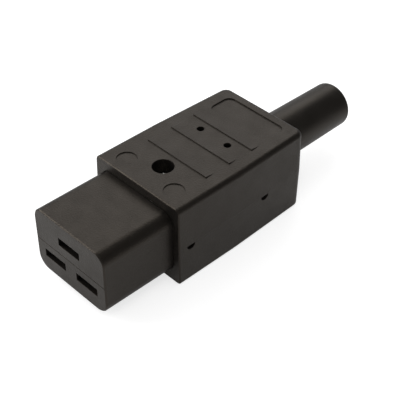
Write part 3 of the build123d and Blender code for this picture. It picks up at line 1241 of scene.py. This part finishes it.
@dataclass
class Studio:
    """Pale floor, soft lamps and the camera at the photo's place.

    To the camera the floor and the sky are white, and the floor keeps the shadow. The part's own
    light comes from a painted pool of light on the floor round it, whose colour is bright near the
    part and fades out, from a soft fill and from the lamps. In mirrors the sky is dark, and pale low
    down on the left.
    """

    floor_half: float = 6.0
    floor_paint: float = 0.62
    floor_glow: float = 0.69
    floor_bounce: float = 0.76
    mirrored_floor: float = 0.2
    # Painted pool of light on the floor: its bounce colour is floor_bounce within the pool's radius
    # round its middle, and fades to the end share of that further out.
    painted_pool_middle: Vector = field(default_factory=lambda: Vector((-15, 35, 0)) * MM)
    painted_pool_radius: float = 80 * MM
    painted_pool_fade: float = 55 * MM
    painted_pool_end_share: float = 0.3
    sky_low: float = 1.0
    sky_upper: float = 0.13
    sky_fill: float = 0.55
    sky_low_below: float = 0.05
    sky_upper_above: float = 0.25
    sky_pale_left_of: float = -0.5
    sky_dark_right_of: float = 0.2
    aim: Vector = field(default_factory=lambda: Vector((11.3, 35.7, 6.6)) * MM)
    azimuth: float = 46.206
    elevation: float = 40.10
    distance: float = 274.4 * MM
    lens: float = 92.74
    clip_near: float = 0.01
    clip_far: float = 100.0
    panels: tuple[Panel, ...] = (
        Panel("overhead_rear_panel", toward=(-0.55, 0.53, 0.73), width=0.7, height=0.7, power=2.1),
        Panel("high_front_panel", toward=(0.32, -0.30, 0.90), width=0.3, height=0.3, power=0.6),
        Panel("front_left_panel", toward=(-0.75, -0.55, 0.45), width=0.5, height=0.5, power=3.6),
    )

    def build(self) -> None:
        """Builds the floor, the world, the lamps and the camera."""
        self.build_floor()
        self.build_world()
        for panel in self.panels:
            panel.build(self.aim)
        self.build_camera()
        bpy.context.scene.view_settings.view_transform = "Standard"

    def seen_share(self, nodes: NodeBuilder, mirrored: float = 1.0) -> bpy.types.NodeSocket:
        """Gives 1 to camera rays, a set share to mirrored and refracted ones, and 0 to the rest.

        Args:
            nodes: Builder of the floor's or the world's tree.
            mirrored: The share for rays off glossy surfaces and through glass.

        Returns:
            The share's output socket.
        """
        path = nodes.add("ShaderNodeLightPath").outputs
        glossy = nodes.math("MAXIMUM", path["Is Glossy Ray"], path["Is Transmission Ray"])
        return nodes.math("MAXIMUM", path["Is Camera Ray"], nodes.math("MULTIPLY", glossy, mirrored))

    def painted_pool_level(self, nodes: NodeBuilder) -> bpy.types.NodeSocket:
        """Works out the floor's colour for the part's own light: a painted pool of light, bright near
        the part.

        Args:
            nodes: Builder of the floor's tree.

        Returns:
            The level's output socket.
        """
        without_height = (1.0, 1.0, 0.0)
        place = nodes.add("ShaderNodeTexCoord").outputs["Object"]
        on_plan = nodes.add(
            "ShaderNodeVectorMath", {0: place, 1: without_height}, operation="MULTIPLY"
        )
        away = nodes.add(
            "ShaderNodeVectorMath",
            {0: on_plan.outputs[0], 1: self.painted_pool_middle},
            operation="DISTANCE",
        )
        return nodes.map_range(
            away.outputs["Value"],
            self.painted_pool_radius,
            self.painted_pool_radius + self.painted_pool_fade,
            self.floor_bounce,
            self.floor_bounce * self.painted_pool_end_share,
        )

    def build_floor(self) -> None:
        """Lays a pale floor that shows white to the camera and keeps the shadow."""
        low, _ = cad_box
        mesh = bpy.data.meshes.new("pale_floor")
        half = self.floor_half
        plan = ((-half, -half), (half, -half), (half, half), (-half, half))
        mesh.from_pydata([(x, y, low.z) for x, y in plan], [], [(0, 1, 2, 3)])
        floor = add_piece("pale_floor", mesh)
        paint = bpy.data.materials.new("pale_floor_paint")
        paint.use_nodes = True
        nodes = NodeBuilder(paint.node_tree)
        seen_paint = nodes.add("ShaderNodeBsdfDiffuse", {"Color": (*[self.floor_paint] * 3, 1.0)})
        glow = nodes.add("ShaderNodeEmission", {"Strength": self.floor_glow})
        seen = nodes.add("ShaderNodeAddShader", {0: seen_paint.outputs[0], 1: glow.outputs[0]})
        # Painted pool of light: the floor's bounce colour is brighter near the part and fades out.
        level = self.painted_pool_level(nodes)
        bounce = nodes.add("ShaderNodeBsdfDiffuse", {"Color": nodes.combine(level, level, level)})
        mixed = nodes.add(
            "ShaderNodeMixShader",
            {
                0: self.seen_share(nodes, self.mirrored_floor),
                1: bounce.outputs[0],
                2: seen.outputs[0],
            },
        )
        nodes.add("ShaderNodeOutputMaterial", {"Surface": mixed.outputs[0]})
        mesh.materials.append(paint)

    def build_world(self) -> None:
        """Makes a world that is white to the camera, dark in mirrors and a soft fill for the rest."""
        world = bpy.data.worlds.new("studio_sweep")
        bpy.context.scene.world = world
        world.use_nodes = True
        nodes = NodeBuilder(world.node_tree)
        direction = nodes.add("ShaderNodeTexCoord").outputs["Generated"]
        toward_x, _, height = nodes.add("ShaderNodeSeparateXYZ", {0: direction}).outputs
        low_level = nodes.map_range(
            toward_x, self.sky_pale_left_of, self.sky_dark_right_of, self.sky_low, self.sky_upper
        )
        mirrored = nodes.map_range(
            height, self.sky_low_below, self.sky_upper_above, low_level, self.sky_upper
        )
        camera_ray = nodes.add("ShaderNodeLightPath").outputs["Is Camera Ray"]
        seen = nodes.add(
            "ShaderNodeBackground", {"Strength": nodes.math("MAXIMUM", mirrored, camera_ray)}
        )
        fill = nodes.add("ShaderNodeBackground", {"Strength": self.sky_fill})
        for background in (seen, fill):
            background.inputs["Color"].default_value = (1.0, 1.0, 1.0, 1.0)
        mixed = nodes.add(
            "ShaderNodeMixShader", {0: self.seen_share(nodes), 1: fill.outputs[0], 2: seen.outputs[0]}
        )
        nodes.add("ShaderNodeOutputWorld", {"Surface": mixed.outputs[0]})

    def build_camera(self) -> None:
        """Stands the camera where the photo was taken from."""
        turn, rise = math.radians(self.azimuth), math.radians(self.elevation)
        back = Vector(
            (math.sin(turn) * math.cos(rise), -math.cos(turn) * math.cos(rise), math.sin(rise))
        )
        camera = bpy.data.objects.new("photo_camera", bpy.data.cameras.new("photo_camera"))
        bpy.context.scene.collection.objects.link(camera)
        camera.data.lens = self.lens
        camera.data.clip_start = self.clip_near
        camera.data.clip_end = self.clip_far
        camera.location = self.aim + back * self.distance
        camera.rotation_mode = "QUATERNION"
        camera.rotation_quaternion = (-back).to_track_quat("-Z", "Y")
        bpy.context.scene.camera = camera


def main() -> None:
    """Builds and dresses every sub-assembly, then the studio."""
    logging.basicConfig(level=logging.INFO, format="%(name)s: %(message)s")
    finishes = Finishes()
    finishes.build()
    for assembly in (Housing(), NoseBlock(), Contacts(), CordGrip(), BendSleeve(), Screws()):
        assembly.build()
        assembly.dress(finishes)
        log.info("%s is built and dressed", type(assembly).__name__)
    Studio().build()


if __name__ == "__main__":
    main()
